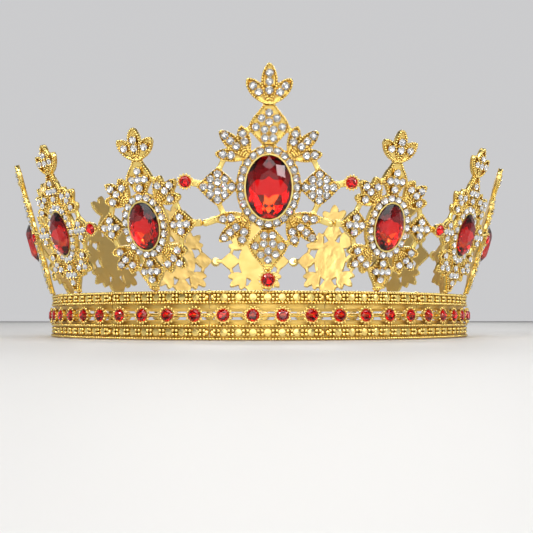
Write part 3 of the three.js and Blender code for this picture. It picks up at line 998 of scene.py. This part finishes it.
def front_casting():
    """The front upright's casting, with its two side cups and the pendant's cup."""
    bars = [bar_line((0, PENDANT_Y), (0, PENDANT_Y + PENDANT_CUP + 2 * JOIN))]
    end_y = SMALL.centre * math.cos(SMALL_LEAN) / math.cos(FRONT_LEAN)
    reach = reach_at(end_y, FRONT_LEAN) - SOLDER_GAP / 2
    leaf_x = FRONT.cluster[0] + FRONT.leaves[0][1] * WEB_SHARE
    for cup in FRONT_CUPS:
        side = math.copysign(1, cup.x)
        bars.append(bar_line((side * FRONT.side_x, FRONT.centre), cup.xy))
        leaf = (side * leaf_x, FRONT.centre - FRONT.cluster[1])
        bars.append(bar_line(leaf, (side * reach, end_y)))
    bm = fused_plate(FRONT, bars)
    grains = plate_grains(FRONT)
    grains += [sized((side * reach, end_y, 0.3), 1.2, 1.15, 1.3) for side in (-1, 1)]
    grains.append(sized((0, plate_root, 0.6), 1.5, 0.8, 0.8))
    for cup in FRONT_CUPS:
        grains += claw_places(Matrix.Translation(cup), JUNCTION_STONE, RAY_CLAW, RAY_REACH)
    pendant = Matrix.Translation(PENDANT_PLACE)
    grains += claw_places(pendant, PENDANT_STONE, PENDANT_CLAW, PENDANT_REACH)
    set_copies(bm, ball, grains)
    set_copies(bm, make_cup(JUNCTION_STONE), [Matrix.Translation(cup) for cup in FRONT_CUPS])
    set_copies(bm, make_cup(PENDANT_STONE), [pendant])
    bmesh.ops.transform(bm, verts=bm.verts, matrix=standing(FRONT_LEAN))
    return bm


# A darker copy of the gold for the backs of the plates: painted shade on the side facing into the
# crown.
shaded_back_gold = gold_plate("shaded_back_gold", (0.68, 0.49, 0.18), (0.52, 0.34, 0.10), 0.3, 260, 0.36)
golds = [casting_gold, shaded_back_gold]
front_piece = finish_piece(front_casting(), "front_casting", golds)
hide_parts("front_upright")
ends = {1: small_casting(True, False), UNITS - 1: small_casting(False, True)}
between = small_casting(True, True)
for unit in range(1, UNITS):
    source = ends.get(unit, between)
    number = f"{unit + 1:02d}"
    shape = turned_copy(source, unit * PITCH)
    piece = finish_piece(shape, f"small_casting_{number}", golds)
    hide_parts(f"small_upright_{number}")
for source in (*ends.values(), between):
    source.free()


# The clear stones: round cut glass over silver foil, a little over two millimetres
# across, pressed down between grips in every field and round every halo. No two sit
# quite level or turned alike, so each one sparkles differently.
CLEAR_TILT = math.radians(7)
TILT_STEP = 2.3
TURN_STEP = 1.7
clear_glass = glass("clear_glass", (1, 1, 1), 0.5)
silver_foil = foil("silver_foil", (1.0, 1.0, 1.0), (0.90, 0.91, 0.94), 700, 0.8)
clears = [clear_glass, silver_foil]
clear_gem = round_gem(CLEAR_STONE, 8, 0.55, 0.40)


def paved(pattern, stand):
    """All the clear stones of one upright."""
    bm = bmesh.new()
    places = []
    for number, spot in enumerate(clear_spots(pattern)):
        tilt = Matrix.Rotation(CLEAR_TILT * math.sin(TILT_STEP * number), 4, "X")
        turn = Matrix.Rotation(TURN_STEP * number, 4, "Z")
        places.append(stand @ Matrix.Translation((*spot, CLEAR_GIRDLE)) @ tilt @ turn)
    set_copies(bm, clear_gem, places)
    return bm


front_stand = standing(FRONT_LEAN)
small_stand = standing(SMALL_LEAN)
set_stones(paved(FRONT, front_stand), 0, "front_clear_stones", clears, "clear_glass")
paving = paved(SMALL, small_stand)
for unit in range(1, UNITS):
    set_stones(paving, unit * PITCH, f"clear_stones_{unit + 1:02d}", clears, "clear_glass")


# The oval stones: cut red glass, foiled behind, rubbed over at the girdle by a thin
# bezel. Their steep crowns rise to a long flat table.
OVAL_SIDES = 8
GIRDLE_LIFT = 0.02
CULET_GAP = 0.15
FRONT_CROWN = 2.4
SMALL_CROWN = 2.0


def oval_gem(pattern, crown):
    x_radius, y_radius = pattern.stone
    girdle = pattern.bezel_top + GIRDLE_LIFT
    deep = girdle - FLOOR - CULET_GAP
    shares = [
        (0.48, 0.55, girdle + crown, 0),
        (0.74, 0.77, girdle + crown * 0.66, 1),
        (0.95, 0.955, girdle + 0.35, 0),
        (1.0, 1.0, girdle, 1),
        (0.76, 0.78, girdle - deep * 0.50, 0),
        (0.52, 0.56, girdle - deep * 0.82, 1),
        (0.26, 0.34, girdle - deep, 0),
    ]
    rings = [(x_radius * a, y_radius * b, height, turn) for a, b, height, turn in shares]

    def finish_of(middle, outward):
        """Painted shade on the foil above, painted orange light on the foil low down, and a quieter
        sheen on the table.
        """
        if middle.z >= girdle:
            return TABLE_FACET if outward.z > 0.95 else CROWN_FACET
        if middle.y > y_radius * 0.2:
            return PAINTED_SHADE_FACET
        is_low = middle.y < -y_radius * 0.25 and abs(middle.x) < x_radius * 0.35
        return PAINTED_LIGHT_FACET if is_low else BACK_FACET

    return cut_gem(rings, OVAL_SIDES, finish_of)


def set_oval(pattern, crown, stand):
    bm = bmesh.new()
    set_copies(bm, oval_gem(pattern, crown), [stand @ Matrix.Translation((0, pattern.centre, 0))])
    return bm


stone = set_oval(FRONT, FRONT_CROWN, front_stand)
set_stones(stone, 0, "front_oval", reds, "red_glass", "front_oval_stone")
stone = set_oval(SMALL, SMALL_CROWN, small_stand)
for unit in range(1, UNITS):
    number = f"{unit + 1:02d}"
    node = f"small_oval_stone_{number}"
    set_stones(stone, unit * PITCH, f"oval_{number}", reds, "red_glass", node)


# The round red stones between the uprights and the pendant one under the front
# setting, each in its own ray-clawed cup.
junction_gem = round_gem(JUNCTION_STONE, 10, 0.8, 0.8)
pendant_gem = round_gem(PENDANT_STONE, 10, 0.9, 0.8)


def single(gem, place):
    bm = bmesh.new()
    set_copies(bm, gem, [place @ in_cup])
    return bm


for cup, word in zip(FRONT_CUPS, ("left", "right")):
    stone = single(junction_gem, front_stand @ Matrix.Translation(cup))
    node = f"front_junction_stone_{word}"
    set_stones(stone, 0, f"front_junction_{word}", reds, "red_glass", node)
stone = single(pendant_gem, front_stand @ Matrix.Translation(PENDANT_PLACE))
set_stones(stone, 0, "front_pendant", reds, "red_glass", "front_pendant_stone")
stone = single(junction_gem, halfway())
for unit in range(1, UNITS - 1):
    number = f"{unit + 1:02d}"
    node = f"junction_stone_{number}"
    set_stones(stone, unit * PITCH, f"junction_{number}", reds, "red_glass", node)
